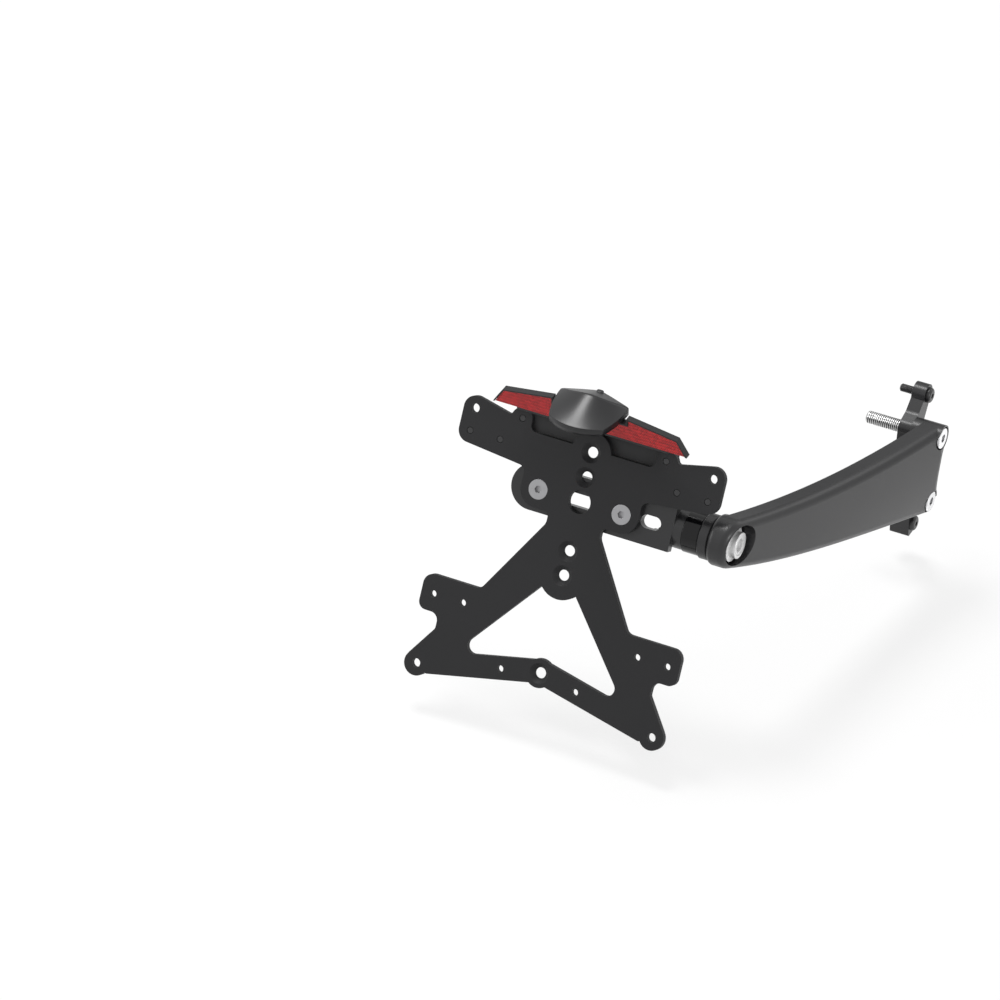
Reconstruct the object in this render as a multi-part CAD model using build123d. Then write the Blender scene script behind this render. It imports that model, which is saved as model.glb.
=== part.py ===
from build123d import *
from math import atan2, cos, degrees, radians, sin, sqrt, tan
import os

# Side mount license plate holder for a motorbike, in millimetres.
# +Z is up, +Y points to the front of the bike and +X points out, away from the wheel.
# The origin is where the upper frame bolt leaves the inner face of the adapter.

# Arm: places are across (X), forward (Y) and up (Z) from the origin
pivot_back = 180.1
pivot_rise = 26.0
pivot_bore = 10.2
arm_end_radius = 15.5
arm_pad_face = -40.3
arm_face_at_pivot = -24.3
arm_face_at_bolts = 28.0
arm_thickness = 13.5
arm_edge_radius = 5.0
arm_boss_radius = 8.3
arm_pad_round = 3.0
arm_pad_cover = 1.5
arm_top_leave = 19.0
arm_top_arrive = 2.0
arm_bottom_leave = 27.5
arm_bottom_arrive = 16.5
arm_end_hollow = 2.4
arm_end_turn = 25.0
arm_end_shares = (0.35, 0.7)
arm_rim_drops = (9.0, 1.0)
pivot_recess_diameter = 25.6
pivot_recess_floor = -31.0

# Frame bolts, M8
lower_bolt_back = 7.5
lower_bolt_drop = 43.5
frame_bolt_diameter = 8.0
frame_bolt_length = 45.0
frame_bolt_head_diameter = 13.0
frame_bolt_head_height = 5.0
frame_bolt_clearance = 0.4
frame_bolt_face = 27.4
lower_bolt_sink = 2.5
frame_bolt_socket = 5.0
frame_washer_diameter = 13.2
frame_washer_thickness = 1.6
frame_washer_play = 0.2
frame_counterbore_diameter = 14.6

# Adapter behind the arm
adapter_thickness = 8.4
adapter_hub_radius = 6.4
adapter_eye_radius = 6.6
adapter_neck_forward = 5.5
adapter_neck_rise = 8.0
adapter_inner_forward = 15.3
adapter_inner_drop = 1.5
adapter_foot_half_width = 5.4
adapter_foot_drop = 7.6
adapter_foot_bend = 9.0
adapter_foot_reach = 4.0
adapter_corner_radius = 1.5
adapter_shoulder = 0.9
upper_eye_forward = 19.5
upper_eye_rise = 13.5
lower_eye_forward = 4.4
lower_eye_drop = 73.6
eye_screw_diameter = 5.0
eye_screw_length = 18.0
eye_screw_head_diameter = 9.5
eye_screw_head_height = 2.8
eye_screw_clearance = 0.2
eye_screw_socket = 3.0
eye_screw_socket_depth = 1.6
thread_relief = 0.05
thread_chamfer = 0.12
head_chamfer = 0.06
socket_share = 0.55
button_round = 0.6

# Pivot stack between the arm and the plate
pivot_bolt_diameter = 10.0
pivot_bolt_length = 45.0
pivot_bolt_head_diameter = 16.0
pivot_bolt_head_height = 4.0
pivot_bolt_dish_radius = 6.3
pivot_bolt_dish_depth = 0.5
pivot_bolt_socket = 8.0
pivot_washer_diameter = 21.8
pivot_washer_thickness = 2.5
index_ring_step = 1.7
index_ring_width = 6.5
spacer_step = 2.6
spacer_width = 10.5
spacer_edge = 0.8

# Plate bracket: u is across from the middle, v is up the tilted sheet from the screw row
plate_offset = 121.8
plate_tilt = 30.0
sheet = 4.0
ear_half_width = 84.5
ear_hole_inset = 7.4
ear_hole_v = 35.7
ear_corner_radius = 7.4
ear_valley_u = 56.0
ear_valley_v = 38.8
ear_slope = 12.0
ear_bottom_v = 10.8
ear_bottom_slope = 5.7
insert_u = 46.5
insert_v = 37.9
hump_radius = 6.2
hump_round = 0.98
hump_foot = 1.0
hump_foot_sink = 0.7
hump_foot_radius = 2.0
outer_insert_inset = 7.4
inner_insert_inset = 27.1
insert_row_v = 22.0
insert_diameter = 4.2
insert_sink = 0.1
insert_round = 0.4
insert_stand = 0.5
stud_stand = 6.0
stud_nut_across = 7.0
stud_nut_height = 3.2
notch_v = 32.0
notch_radius = 4.0
tab_radius = 12.5
lobe_half_width = 38.2
lobe_bottom_v = -11.0
lobe_radius = 10.8
waist_u = 17.3
waist_v = -17.8
waist_upper_radius = 3.0
waist_side_radius = 4.0
waist_lower_radius = 6.0
leg_foot_inset = 36.4
leg_foot_v = -66.8
foot_half_width = 84.3
foot_bottom_v = -89.0
foot_waist_inset = 14.0
foot_waist_v = -98.0
foot_round = 5.0
foot_top_round = 6.5
foot_neck_round = 3.0
corner_hole_inset = 7.1
corner_hole_v = -121.4
corner_radius = 7.7
corner_side_rise = 2.6
corner_under_drop = 2.0
corner_under_round = 0.5
corner_bar_round = 1.0
bar_bottom_v = -111.0
bar_slope = 12.1
cut_apex_v = -41.0
cut_leg_slope = 39.55
cut_bottom_v = -96.7
cut_corner_radius = 4.8
lobe_hole_radius = 14.5
bar_lobe_radius = 8.8
plate_bolt_hole = 5.4
small_hole = 4.2
foot_hole_v = -78.4
foot_hole_outer_inset = 7.8
foot_hole_inner_inset = 27.3
bar_hole_u = 24.5
bar_hole_v = -109.5
cable_hole = 14.0
centre_hole = 6.6
centre_sink = 12.4
centre_hole_rows = (30.0, 15.0, -30.0, -45.0, -105.0)
screw_u = 27.0
screw_diameter = 6.0
screw_head_diameter = 12.0
screw_length = 12.0
screw_socket = 4.0
screw_socket_depth = 2.2
screw_clearance = 0.1
screw_sink_play = 0.4

# Support bracket behind the plate
support_sheet = 6.0
support_height = 28.0
support_left_u = 31.9
support_right_u = 58.8
boss_radius = 12.3
boss_start_u = 45.0
slot_height = 8.0
side_slot_u = 44.6
side_slot_length = 13.0
middle_slot_length = 30.0

# Lamp and reflectors above the plate, placed from the screw row by Y and Z
reflector_face_y = 12.0
reflector_depth = 4.2
reflector_rim = 0.9
reflector_floor = 1.2
reflector_lens_sink = 0.6
reflector_bottom_z = 45.2
reflector_inner_u = 9.6
reflector_step_u = 24.6
reflector_step_z = 55.4
reflector_inner_top_z = 59.3
reflector_outer_u = 61.6
reflector_outer_top_u = 55.6
reflector_outer_top_z = 54.6
lamp_tip_u = 16.7
lamp_tip_y = -4.6
lamp_front_y = -10.6
lamp_corner_u = 22.0
lamp_corner_y = 21.3
lamp_rear_y = 28.5
lamp_rim_z = 58.4
lamp_front_z = 61.9
lamp_front_eave_z = 61.0
lamp_ridge_y = 14.0
lamp_ridge_z = 69.5
lamp_crease_y = 20.7
lamp_crease_z = 61.3
lamp_rear_z = 62.2
lamp_rear_eave_z = 61.0
lamp_wall = 1.5
lamp_floor_thickness = 1.4
lamp_floor_inset = 1.0
lamp_floor_split_y = 8.0
lamp_ridge_radius = 9.0
lamp_side_bow = 1.2
lamp_overrun = 2.0
lamp_lug_width = 4.4
lamp_lug_y = 26.0
lamp_lug_z = 63.6
lens_gap = 0.15
carrier_sheet = 2.5
carrier_ear_u = 51.5
carrier_ear_top_v = 43.0
carrier_low_v = 26.0
carrier_wing_u = 39.0
carrier_opening_u = 8.0
carrier_opening_v = 36.5
carrier_shelf_z = 43.4
carrier_strip_u = 49.0
carrier_strip_top_z = 53.4
carrier_flange_u = 13.0
carrier_flange_y = 26.0

# Frames used below
PIVOT = (-pivot_back, pivot_rise)
pivot_depth = sheet + boss_radius
tilt = radians(plate_tilt)
row_y = PIVOT[0] - pivot_depth * cos(tilt)
row_z = PIVOT[1] + pivot_depth * sin(tilt)
# The plate frame has u across, v up the sheet and its third axis out of the front face
PLATE = Plane(origin=(-plate_offset, row_y, row_z), x_dir=(1, 0, 0), z_dir=(0, -cos(tilt), sin(tilt)))
# The lamp frame stays upright, with the same origin
LAMP = Location((-plate_offset, row_y, row_z))
pad_x = arm_pad_face
index_ring_x = pad_x - index_ring_width
spacer_x = index_ring_x - spacer_width
boss_end_u = plate_offset + spacer_x
LOWER_BOLT = (-lower_bolt_back, -lower_bolt_drop)
UPPER_EYE = (upper_eye_forward, upper_eye_rise)
LOWER_EYE = (lower_eye_forward, -lower_eye_drop)
arm_splay = (arm_face_at_bolts - arm_face_at_pivot) / pivot_back
# Each frame bolt's axis and the seat of its head
FRAME_BOLTS = (
    ((0.0, 0.0), frame_bolt_face - frame_bolt_head_height),
    (LOWER_BOLT, frame_bolt_face - frame_bolt_head_height - lower_bolt_sink),
)
index_ring_radius = arm_end_radius - index_ring_step
spacer_radius = arm_end_radius - spacer_step
ear_hole_u = ear_half_width - ear_hole_inset
outer_insert_u = ear_half_width - outer_insert_inset
inner_insert_u = ear_half_width - inner_insert_inset
leg_foot_u = foot_half_width - leg_foot_inset
foot_waist_u = foot_half_width - foot_waist_inset
corner_hole_u = foot_half_width - corner_hole_inset
foot_hole_outer_u = foot_half_width - foot_hole_outer_inset
foot_hole_inner_u = foot_half_width - foot_hole_inner_inset
pivot_washer_seat = pivot_recess_floor
pivot_head_seat = pivot_washer_seat + pivot_washer_thickness


def rod_x(start, end, radius, centre=(0.0, 0.0)):
    """A cylinder along X from start to end, about the point (y, z)."""
    return Location((start, centre[0], centre[1]), (0, 90, 0)) * Cylinder(
        radius, end - start, align=(Align.CENTER, Align.CENTER, Align.MIN)
    )


def slab_x(start, end, sketch):
    """A sketch drawn in (y, z) and extruded along X from start to end."""
    plane = Plane(origin=(start, 0, 0), x_dir=(0, 1, 0), z_dir=(1, 0, 0))
    return extrude(plane * sketch, amount=end - start, dir=(1, 0, 0))


def hex_socket_x(end, across, depth, centre):
    """The hex socket cut in a screw head whose face is at X = end, open towards +X."""
    hexagon = RegularPolygon(across / sqrt(3), 6)
    return slab_x(end - depth, end, Pos(centre[0], centre[1]) * hexagon)


def mirrored(sketch):
    """The sketch with its mirror image in the plate's middle."""
    return sketch + mirror(sketch, about=Plane.YZ)


def plate_disc(u, v, diameter, depth=sheet, start=0.0):
    """A disc through the sheet at (u, v), from start below the front face to depth."""
    return Pos(u, v, -depth) * Cylinder(
        diameter / 2, depth - start, align=(Align.CENTER, Align.CENTER, Align.MIN)
    )


def countersink(u, v, bore, head):
    """A through hole with a ninety degree countersink on the front face."""
    cone = (head - bore) / 2
    sink = Pos(u, v, -cone) * Cone(bore / 2, head / 2, cone, align=(Align.CENTER, Align.CENTER, Align.MIN))
    return plate_disc(u, v, bore) + sink


def upper_outline():
    """Right half of the upper bar with its ear, and of the lobe under it."""
    rise = tan(radians(ear_slope))
    fall = tan(radians(ear_bottom_slope))
    ear_top = ear_valley_v + (ear_half_width - ear_valley_u) * rise
    ear_low = ear_bottom_v + (ear_half_width - lobe_half_width) * fall
    hump_left = insert_u - hump_radius
    hump_right = insert_u + hump_radius
    corners = [
        (0.0, notch_v, 0.0),
        (hump_left, notch_v, notch_radius),
        (hump_left, insert_v + hump_radius, hump_round * hump_radius),
        (hump_right, insert_v + hump_radius, hump_round * hump_radius),
        (hump_right + hump_foot, ear_valley_v - hump_foot_sink, hump_foot_radius),
        (ear_half_width, ear_top, ear_corner_radius),
        (ear_half_width, ear_low, ear_corner_radius),
        (lobe_half_width, ear_bottom_v, notch_radius),
        (lobe_half_width, lobe_bottom_v, lobe_radius),
        (waist_u, lobe_bottom_v, waist_upper_radius),
        (waist_u, waist_v, waist_side_radius),
        (0.0, waist_v, 0.0),
    ]
    return rounded_shape(corners)


def rounded_shape(corners):
    """A closed face from (u, v, corner radius) rows; the first and last are sharp."""
    points = [(u, v) for u, v, _ in corners]
    radii = [r for _, _, r in corners]
    return make_face(FilletPolyline(*points, radius=radii, close=True))


def lower_outline():
    """Right half of the A shaped lower part, with the corner ear at its foot."""
    slope = tan(radians(bar_slope))
    bar_end = corner_hole_u - corner_radius
    corners = [
        (0.0, lobe_bottom_v, 0.0),
        (waist_u, lobe_bottom_v, 0.0),
        (waist_u, waist_v, waist_lower_radius),
        (leg_foot_u, leg_foot_v, foot_round),
        (foot_half_width, leg_foot_v, foot_top_round),
        (foot_half_width, foot_bottom_v, foot_round),
        (foot_waist_u, foot_bottom_v, foot_round),
        (foot_waist_u, foot_waist_v, foot_neck_round),
        (corner_hole_u + corner_radius, corner_hole_v + corner_side_rise, foot_neck_round),
        (corner_hole_u, corner_hole_v - corner_under_drop, corner_under_round),
        (bar_end, bar_bottom_v - bar_end * slope, corner_bar_round),
        (0.0, bar_bottom_v, 0.0),
    ]
    return rounded_shape(corners)


def cut_out():
    """The triangular window, whose top and bottom bow round the holes beside it."""
    lean = tan(radians(cut_leg_slope))
    slope = tan(radians(bar_slope))
    corner_v = (cut_bottom_v - slope * lean * cut_apex_v) / (1.0 - slope * lean)
    corner_u = (cut_apex_v - corner_v) * lean
    corners = [
        (0.0, cut_apex_v, 0.0),
        (corner_u, corner_v, cut_corner_radius),
        (0.0, cut_bottom_v, 0.0),
        (-corner_u, corner_v, cut_corner_radius),
    ]
    window = rounded_shape(corners)
    window -= Pos(0, centre_hole_rows[3]) * Circle(lobe_hole_radius)
    window -= Pos(0, centre_hole_rows[4]) * Circle(bar_lobe_radius)
    return window


def plate_bracket():
    """The tilted sheet with its ears, notches, window and holes."""
    half = upper_outline() + lower_outline()
    half += Pos(corner_hole_u, corner_hole_v) * Circle(corner_radius)
    outline = mirrored(half)
    outline += Pos(0, centre_hole_rows[0]) * Circle(tab_radius)
    outline += Pos(0, centre_hole_rows[4]) * Circle(bar_lobe_radius)
    outline -= cut_out()
    plate = extrude(outline, amount=-sheet)
    for side in (-1, 1):
        plate -= plate_disc(side * ear_hole_u, ear_hole_v, plate_bolt_hole)
        plate -= plate_disc(side * corner_hole_u, corner_hole_v, plate_bolt_hole)
        plate -= plate_disc(side * foot_hole_outer_u, foot_hole_v, small_hole)
        plate -= plate_disc(side * foot_hole_inner_u, foot_hole_v, small_hole)
        plate -= plate_disc(side * bar_hole_u, bar_hole_v, small_hole)
        bore, head = screw_diameter + 2 * screw_clearance, screw_head_diameter + screw_sink_play
        plate -= countersink(side * screw_u, 0, bore, head)
        for u, v in insert_places():
            plate -= plate_disc(side * u, v, insert_diameter)
    for row in centre_hole_rows:
        plate -= countersink(0, row, centre_hole, centre_sink)
    plate -= plate_disc(0, 0, cable_hole)
    return PLATE * plate


def insert_places():
    """Where the pressed-in studs sit on the right-hand side."""
    return [(insert_u, insert_v), (outer_insert_u, insert_row_v), (inner_insert_u, insert_row_v)]


def plate_studs():
    """Six studs pressed into the sheet, flush with its front face."""
    studs = []
    for side in (-1, 1):
        for u, v in insert_places():
            stand = stud_stand if u == insert_u else insert_stand
            stud = plate_disc(side * u, v, insert_diameter, sheet + stand, insert_sink)
            studs.append(chamfer(stud.edges().sort_by(Axis.Z)[-1], insert_round))
    return PLATE * Compound(studs)


def carrier_nuts():
    """The nuts that hold the lamp carrier on its two studs."""
    nuts = []
    for side in (-1, 1):
        blank = Pos(side * insert_u, insert_v, -sheet - carrier_sheet - stud_nut_height) * extrude(
            RegularPolygon(stud_nut_across / sqrt(3), 6), amount=stud_nut_height
        )
        nuts.append(blank - plate_disc(side * insert_u, insert_v, insert_diameter, 2 * pivot_depth))
    return PLATE * Compound(nuts)


def plate_screws():
    """Two countersunk socket screws that hold the plate on the support bracket."""
    screws = []
    for side in (-1, 1):
        place = Pos(side * screw_u, 0, 0)
        cone = (screw_head_diameter - screw_diameter) / 2
        head = Pos(0, 0, -cone) * Cone(
            screw_diameter / 2, screw_head_diameter / 2, cone, align=(Align.CENTER, Align.CENTER, Align.MIN)
        )
        shank = Pos(0, 0, -screw_length) * Cylinder(
            screw_diameter / 2, screw_length - cone, align=(Align.CENTER, Align.CENTER, Align.MIN)
        )
        socket = Pos(0, 0, -screw_socket_depth) * extrude(
            RegularPolygon(screw_socket / sqrt(3), 6), amount=screw_socket_depth
        )
        screws.append(place * (head + shank - socket))
    return PLATE * Compound(screws)


def support_bracket():
    """The machined bar behind the plate, with the round boss that the arm clamps."""
    left = -support_left_u
    bar = Pos(left, 0) * Circle(support_height / 2)
    bar += Pos((left + support_right_u) / 2, 0) * Rectangle(support_right_u - left, support_height)
    bar -= slot_at(side_slot_u, side_slot_length)
    bar -= slot_at(0.0, middle_slot_length)
    body = Pos(0, 0, -sheet) * extrude(bar, amount=-support_sheet)
    boss = Location((boss_start_u, 0, -pivot_depth), (0, 90, 0)) * Cylinder(
        boss_radius, boss_end_u - boss_start_u, align=(Align.CENTER, Align.CENTER, Align.MIN)
    )
    deep = 2 * pivot_depth
    window = Pos(side_slot_u, 0, -deep) * extrude(slot_at(0.0, side_slot_length), amount=deep)
    body += boss - window
    bore = Location((0, 0, -pivot_depth), (0, 90, 0)) * Cylinder(
        pivot_bolt_diameter / 2, 2 * boss_end_u, align=(Align.CENTER, Align.CENTER, Align.MIN)
    )
    body -= bore
    for side in (-1, 1):
        body -= Pos(side * screw_u, 0, -sheet - support_sheet) * Cylinder(
            screw_diameter / 2, support_sheet, align=(Align.CENTER, Align.CENTER, Align.MIN)
        )
    return PLATE * body


def slot_at(u, length):
    """A horizontal slot sketch of the support bracket, centred on u."""
    return Pos(u, 0) * SlotOverall(length, slot_height)


def on_circle(centre, radius, angle):
    """The point of a circle at an angle in degrees from the first axis."""
    return (centre[0] + radius * cos(radians(angle)), centre[1] + radius * sin(radians(angle)))


def arm_profile():
    """Side view of the arm: round at the pivot, deepest in the middle, two bosses at the far end."""
    top_start = on_circle(PIVOT, arm_end_radius, 90 - arm_top_leave)
    bottom_start = on_circle(PIVOT, arm_end_radius, 270 - arm_bottom_leave)
    nose = on_circle(PIVOT, arm_end_radius, 180)
    upper_in = on_circle((0, 0), arm_boss_radius, 90 - arm_top_arrive)
    lower_in = on_circle(LOWER_BOLT, arm_boss_radius, 270 - arm_bottom_arrive)
    end_angle = degrees(atan2(LOWER_BOLT[1], LOWER_BOLT[0])) + 90
    upper_out = on_circle((0, 0), arm_boss_radius, end_angle - arm_end_turn)
    lower_out = on_circle(LOWER_BOLT, arm_boss_radius, end_angle + arm_end_turn)
    web = on_circle((0, 0), arm_boss_radius - arm_end_hollow, end_angle)
    hollow = [tuple(a + share * b for a, b in zip(web, LOWER_BOLT)) for share in arm_end_shares]
    end_dir = [
        (sin(radians(a)), -cos(radians(a))) for a in (end_angle - arm_end_turn, end_angle + arm_end_turn)
    ]
    top_dir = [(cos(radians(-a)), sin(radians(-a))) for a in (arm_top_leave, arm_top_arrive)]
    low_dir = [(cos(radians(-a)), sin(radians(-a))) for a in (arm_bottom_leave, arm_bottom_arrive)]
    edges = [
        ThreePointArc(bottom_start, nose, top_start),
        Spline(top_start, upper_in, tangents=top_dir),
        ThreePointArc(
            upper_in, on_circle((0, 0), arm_boss_radius, (90 - arm_top_arrive + end_angle) / 2), upper_out
        ),
        Spline(upper_out, *hollow, lower_out, tangents=end_dir),
        ThreePointArc(
            lower_out, on_circle(LOWER_BOLT, arm_boss_radius, -arm_bottom_arrive), lower_in
        ),
        Spline(bottom_start, lower_in, tangents=low_dir),
    ]
    return make_face(Wire(edges))


def arm_plan(start, end):
    """A band of the arm's plan view between two distances inwards from its splayed outer face."""
    points = []
    for y, inset in ((-1.0, start), (1.0, start), (1.0, end), (-1.0, end)):
        reach = y * (pivot_back + 2 * arm_end_radius)
        points.append((arm_face_at_bolts + arm_splay * reach - inset, reach))
    band = extrude(make_face(Polyline(*points, close=True)), amount=2 * pivot_back)
    return Pos(0, 0, -pivot_back) * band


def side_arm():
    """The arm that carries the plate at one side of the wheel."""
    deep = pivot_back + arm_face_at_bolts
    blade = slab_x(-deep, deep, arm_profile()) & arm_plan(0.0, arm_thickness)
    outer = [f for f in blade.faces() if f.is_planar and f.normal_at().X > cos(radians(45))]
    blade = fillet(outer[0].edges(), arm_edge_radius)
    blade -= Pos(frame_bolt_face) * Box(deep, deep, deep, align=(Align.MIN, Align.CENTER, Align.CENTER))
    pad = rod_x(pad_x, 0.0, arm_end_radius, PIVOT)
    pad = fillet(pad.edges().sort_by(Axis.X)[0], arm_pad_round)
    blade -= rod_x(-deep, pad_x + arm_pad_round, arm_end_radius + arm_pad_round, PIVOT)
    blade += pad & arm_plan(arm_edge_radius + arm_pad_cover, deep)
    outside = arm_plan(-deep, 0.0)
    for (centre, seat), drop in zip(FRAME_BOLTS, arm_rim_drops):
        boss = rod_x(adapter_thickness, seat + frame_bolt_head_height, arm_boss_radius, centre) - outside
        blade += boss - Pos(0, 0, centre[1] - drop) * half_space(Align.MAX)
        blade += rod_x(adapter_thickness, seat, arm_boss_radius, centre)
        blade -= rod_x(seat - frame_washer_thickness, deep, frame_counterbore_diameter / 2, centre)
        blade -= rod_x(0, deep, frame_bolt_diameter / 2 + frame_bolt_clearance, centre)
    blade -= rod_x(pivot_recess_floor, deep, pivot_recess_diameter / 2, PIVOT)
    blade -= rod_x(-deep, deep, pivot_bore / 2, PIVOT)
    return blade


def shank(seat, thread_end, diameter, length, centre):
    """A screw's shank along -X, a little slimmer on the thread that stands free beyond thread_end."""
    tip = rod_x(seat - length, thread_end, diameter * (0.5 - thread_relief), centre)
    tip = chamfer(tip.edges().sort_by(Axis.X)[0], diameter * thread_chamfer)
    return tip + rod_x(thread_end, seat, diameter / 2, centre)


def cap_screw(seat, thread_end, diameter, length, head_diameter, head_height, across, centre):
    """A socket cap screw along -X with its head's underside at X = seat."""
    head = rod_x(seat, seat + head_height, head_diameter / 2, centre)
    head = chamfer(head.edges().sort_by(Axis.X)[-1], head_height * head_chamfer)
    head -= hex_socket_x(seat + head_height, across, head_height * socket_share, centre)
    return shank(seat, thread_end, diameter, length, centre) + head


def pivot_bolt():
    """The low headed bolt that clamps the arm, the ring and the spacer on the boss."""
    face = pivot_head_seat + pivot_bolt_head_height
    bolt = cap_screw(
        pivot_head_seat,
        pivot_head_seat - pivot_bolt_length / 2,
        pivot_bolt_diameter,
        pivot_bolt_length,
        pivot_bolt_head_diameter,
        pivot_bolt_head_height,
        pivot_bolt_socket,
        PIVOT,
    )
    return bolt - rod_x(face - pivot_bolt_dish_depth, face, pivot_bolt_dish_radius, PIVOT)


def pivot_washer():
    """The bright washer in the arm's recess."""
    ring = rod_x(pivot_washer_seat, pivot_head_seat, pivot_washer_diameter / 2, PIVOT)
    return ring - rod_x(pivot_washer_seat, pivot_head_seat, pivot_bore / 2, PIVOT)


def index_ring():
    """The ring between the arm's pad and the spacer."""
    ring = rod_x(index_ring_x, pad_x, index_ring_radius, PIVOT)
    ring = chamfer(ring.edges().filter_by(GeomType.CIRCLE), spacer_edge)
    return ring - rod_x(index_ring_x, pad_x, pivot_bore / 2, PIVOT)


def pivot_spacer():
    """The polished spacer between the ring and the support's boss."""
    ring = rod_x(spacer_x, index_ring_x, spacer_radius, PIVOT)
    ring = chamfer(ring.edges().filter_by(GeomType.CIRCLE), spacer_edge / 2)
    return ring - rod_x(spacer_x, index_ring_x, pivot_bore / 2, PIVOT)


def frame_bolt(centre, seat):
    """A frame bolt, which runs through the arm and the adapter into the bike."""
    return cap_screw(
        seat,
        0.0,
        frame_bolt_diameter,
        frame_bolt_length,
        frame_bolt_head_diameter,
        frame_bolt_head_height,
        frame_bolt_socket,
        centre,
    )


def upper_frame_bolt():
    """The upper frame bolt."""
    return frame_bolt(*FRAME_BOLTS[0])


def lower_frame_bolt():
    """The lower frame bolt."""
    return frame_bolt(*FRAME_BOLTS[1])


def frame_washers():
    """The washers under both frame bolts' heads."""
    washers = []
    for centre, seat in FRAME_BOLTS:
        low = seat - frame_washer_thickness
        ring = rod_x(low, seat, frame_washer_diameter / 2, centre)
        washers.append(ring - rod_x(low, seat, frame_bolt_diameter / 2 + frame_washer_play, centre))
    return Compound(washers)


def adapter_bracket():
    """The C shaped adapter between the arm and the bike, with an eye at each end."""
    hub = adapter_hub_radius
    upper, lower, bolt = UPPER_EYE, LOWER_EYE, LOWER_BOLT
    foot = adapter_foot_half_width
    corners = [
        (upper[0] - hub, upper[1], 0.0),
        (adapter_neck_forward, adapter_neck_rise, hub),
        (-hub / 2, hub * adapter_shoulder, hub / 2),
        (-hub, 0.0, hub / 2),
        (bolt[0] - hub, bolt[1], hub),
        (lower[0] - foot, lower[1] + adapter_foot_bend, adapter_foot_bend),
        (lower[0] - foot, lower[1] - adapter_foot_drop, adapter_corner_radius),
        (lower[0] + foot, lower[1] - adapter_foot_drop, adapter_corner_radius),
        (lower[0] + foot, lower[1] + adapter_foot_bend, adapter_foot_bend),
        (bolt[0] + hub, bolt[1], hub),
        (adapter_inner_forward, -adapter_inner_drop, adapter_foot_bend),
        (upper[0] + adapter_eye_radius, upper[1], 0.0),
    ]
    spine = rounded_shape(corners)
    for centre, radius in ((upper, adapter_eye_radius), ((0.0, 0.0), hub), (bolt, hub)):
        spine += Pos(*centre) * Circle(radius)
    body = slab_x(0, adapter_thickness, spine)
    heel = Pos(lower[0], lower[1] - adapter_foot_drop) * Rectangle(
        2 * foot, adapter_foot_drop + foot, align=(Align.CENTER, Align.MIN)
    )
    body += slab_x(-adapter_foot_reach, 0, fillet(heel.vertices(), adapter_corner_radius))
    for eye in (upper, lower):
        eye_radius = eye_screw_diameter / 2 + eye_screw_clearance
        body -= rod_x(-adapter_foot_reach, adapter_thickness, eye_radius, eye)
    for centre in ((0.0, 0.0), bolt):
        body -= rod_x(0, adapter_thickness, frame_bolt_diameter / 2 + frame_bolt_clearance, centre)
    return body


def eye_screw(centre, thread_end):
    """A button head screw through one eye of the adapter."""
    seat = adapter_thickness
    head = rod_x(seat, seat + eye_screw_head_height, eye_screw_head_diameter / 2, centre)
    head = fillet(head.edges().sort_by(Axis.X)[-1], eye_screw_head_height * button_round)
    head -= hex_socket_x(seat + eye_screw_head_height, eye_screw_socket, eye_screw_socket_depth, centre)
    return shank(seat, thread_end, eye_screw_diameter, eye_screw_length, centre) + head


def upper_adapter_screw():
    """The screw in the adapter's upper eye."""
    return eye_screw(UPPER_EYE, 0.0)


def lower_adapter_screw():
    """The screw in the adapter's lower eye."""
    return eye_screw(LOWER_EYE, -adapter_foot_reach)


def reflector_outline(side, grow):
    """The tapered reflector with its step under the lamp, drawn in (x, z) and grown all round."""
    points = [
        (reflector_inner_u, reflector_bottom_z),
        (reflector_outer_u, reflector_bottom_z),
        (reflector_outer_top_u, reflector_outer_top_z),
        (reflector_step_u, reflector_inner_top_z),
        (reflector_step_u, reflector_step_z),
        (reflector_inner_u, reflector_step_z),
    ]
    face = make_face(Polyline(*[(side * u, z) for u, z in points], close=True))
    return offset(face, grow, kind=Kind.INTERSECTION) if grow else face


def slab_y(start, end, sketch):
    """A sketch drawn in (x, z) and extruded along +Y from start to end."""
    plane = Plane(origin=(0, start, 0), x_dir=(1, 0, 0), z_dir=(0, -1, 0))
    return extrude(plane * sketch, amount=end - start, dir=(0, 1, 0))


def reflector_frame(side):
    """The black tray of one reflector."""
    back = reflector_face_y + reflector_depth
    tray = slab_y(reflector_face_y, back, reflector_outline(side, reflector_rim))
    tray -= slab_y(0.0, back - reflector_floor, reflector_outline(side, 0.0))
    return LAMP * (tray - Pos(0, 0, reflector_bottom_z) * half_space(Align.MAX))


def reflector_lens(side):
    """The red prismatic plate of one reflector."""
    back = reflector_face_y + reflector_depth - reflector_floor
    return LAMP * slab_y(reflector_face_y + reflector_lens_sink, back, reflector_outline(side, -lens_gap))


def lamp_plan(inset):
    """Plan of the lamp: a bowed front, sides that spread and a blunt point behind, in (x, y)."""
    tip = lamp_tip_u - inset
    corner = lamp_corner_u - inset
    low, high = lamp_tip_y + inset, lamp_corner_y - inset
    front = ThreePointArc((-tip, low), (0.0, lamp_front_y + inset), (tip, low))
    bowed = (tip + corner) / 2 + lamp_side_bow
    sides = [
        ThreePointArc((s * tip, low), (s * bowed, (low + high) / 2), (s * corner, high)) for s in (-1, 1)
    ]
    back = Polyline((corner, high), (0.0, lamp_rear_y - inset), (-corner, high))
    return make_face(Wire([front.edge(), sides[0].edge(), sides[1].edge(), *back.edges()]))


def lamp_station(ridge_y, ridge_z, eave_y, eave_z, side):
    """One upright section through the hood, from its ridge out to beyond its eave."""
    reach = side * (lamp_corner_u + lamp_overrun)
    low = lamp_rim_z - 2 * lamp_front_z
    return make_face(
        Polyline(
            (0, ridge_y, low), (reach, eave_y, low), (reach, eave_y, eave_z), (0, ridge_y, ridge_z), close=True
        )
    )


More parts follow.
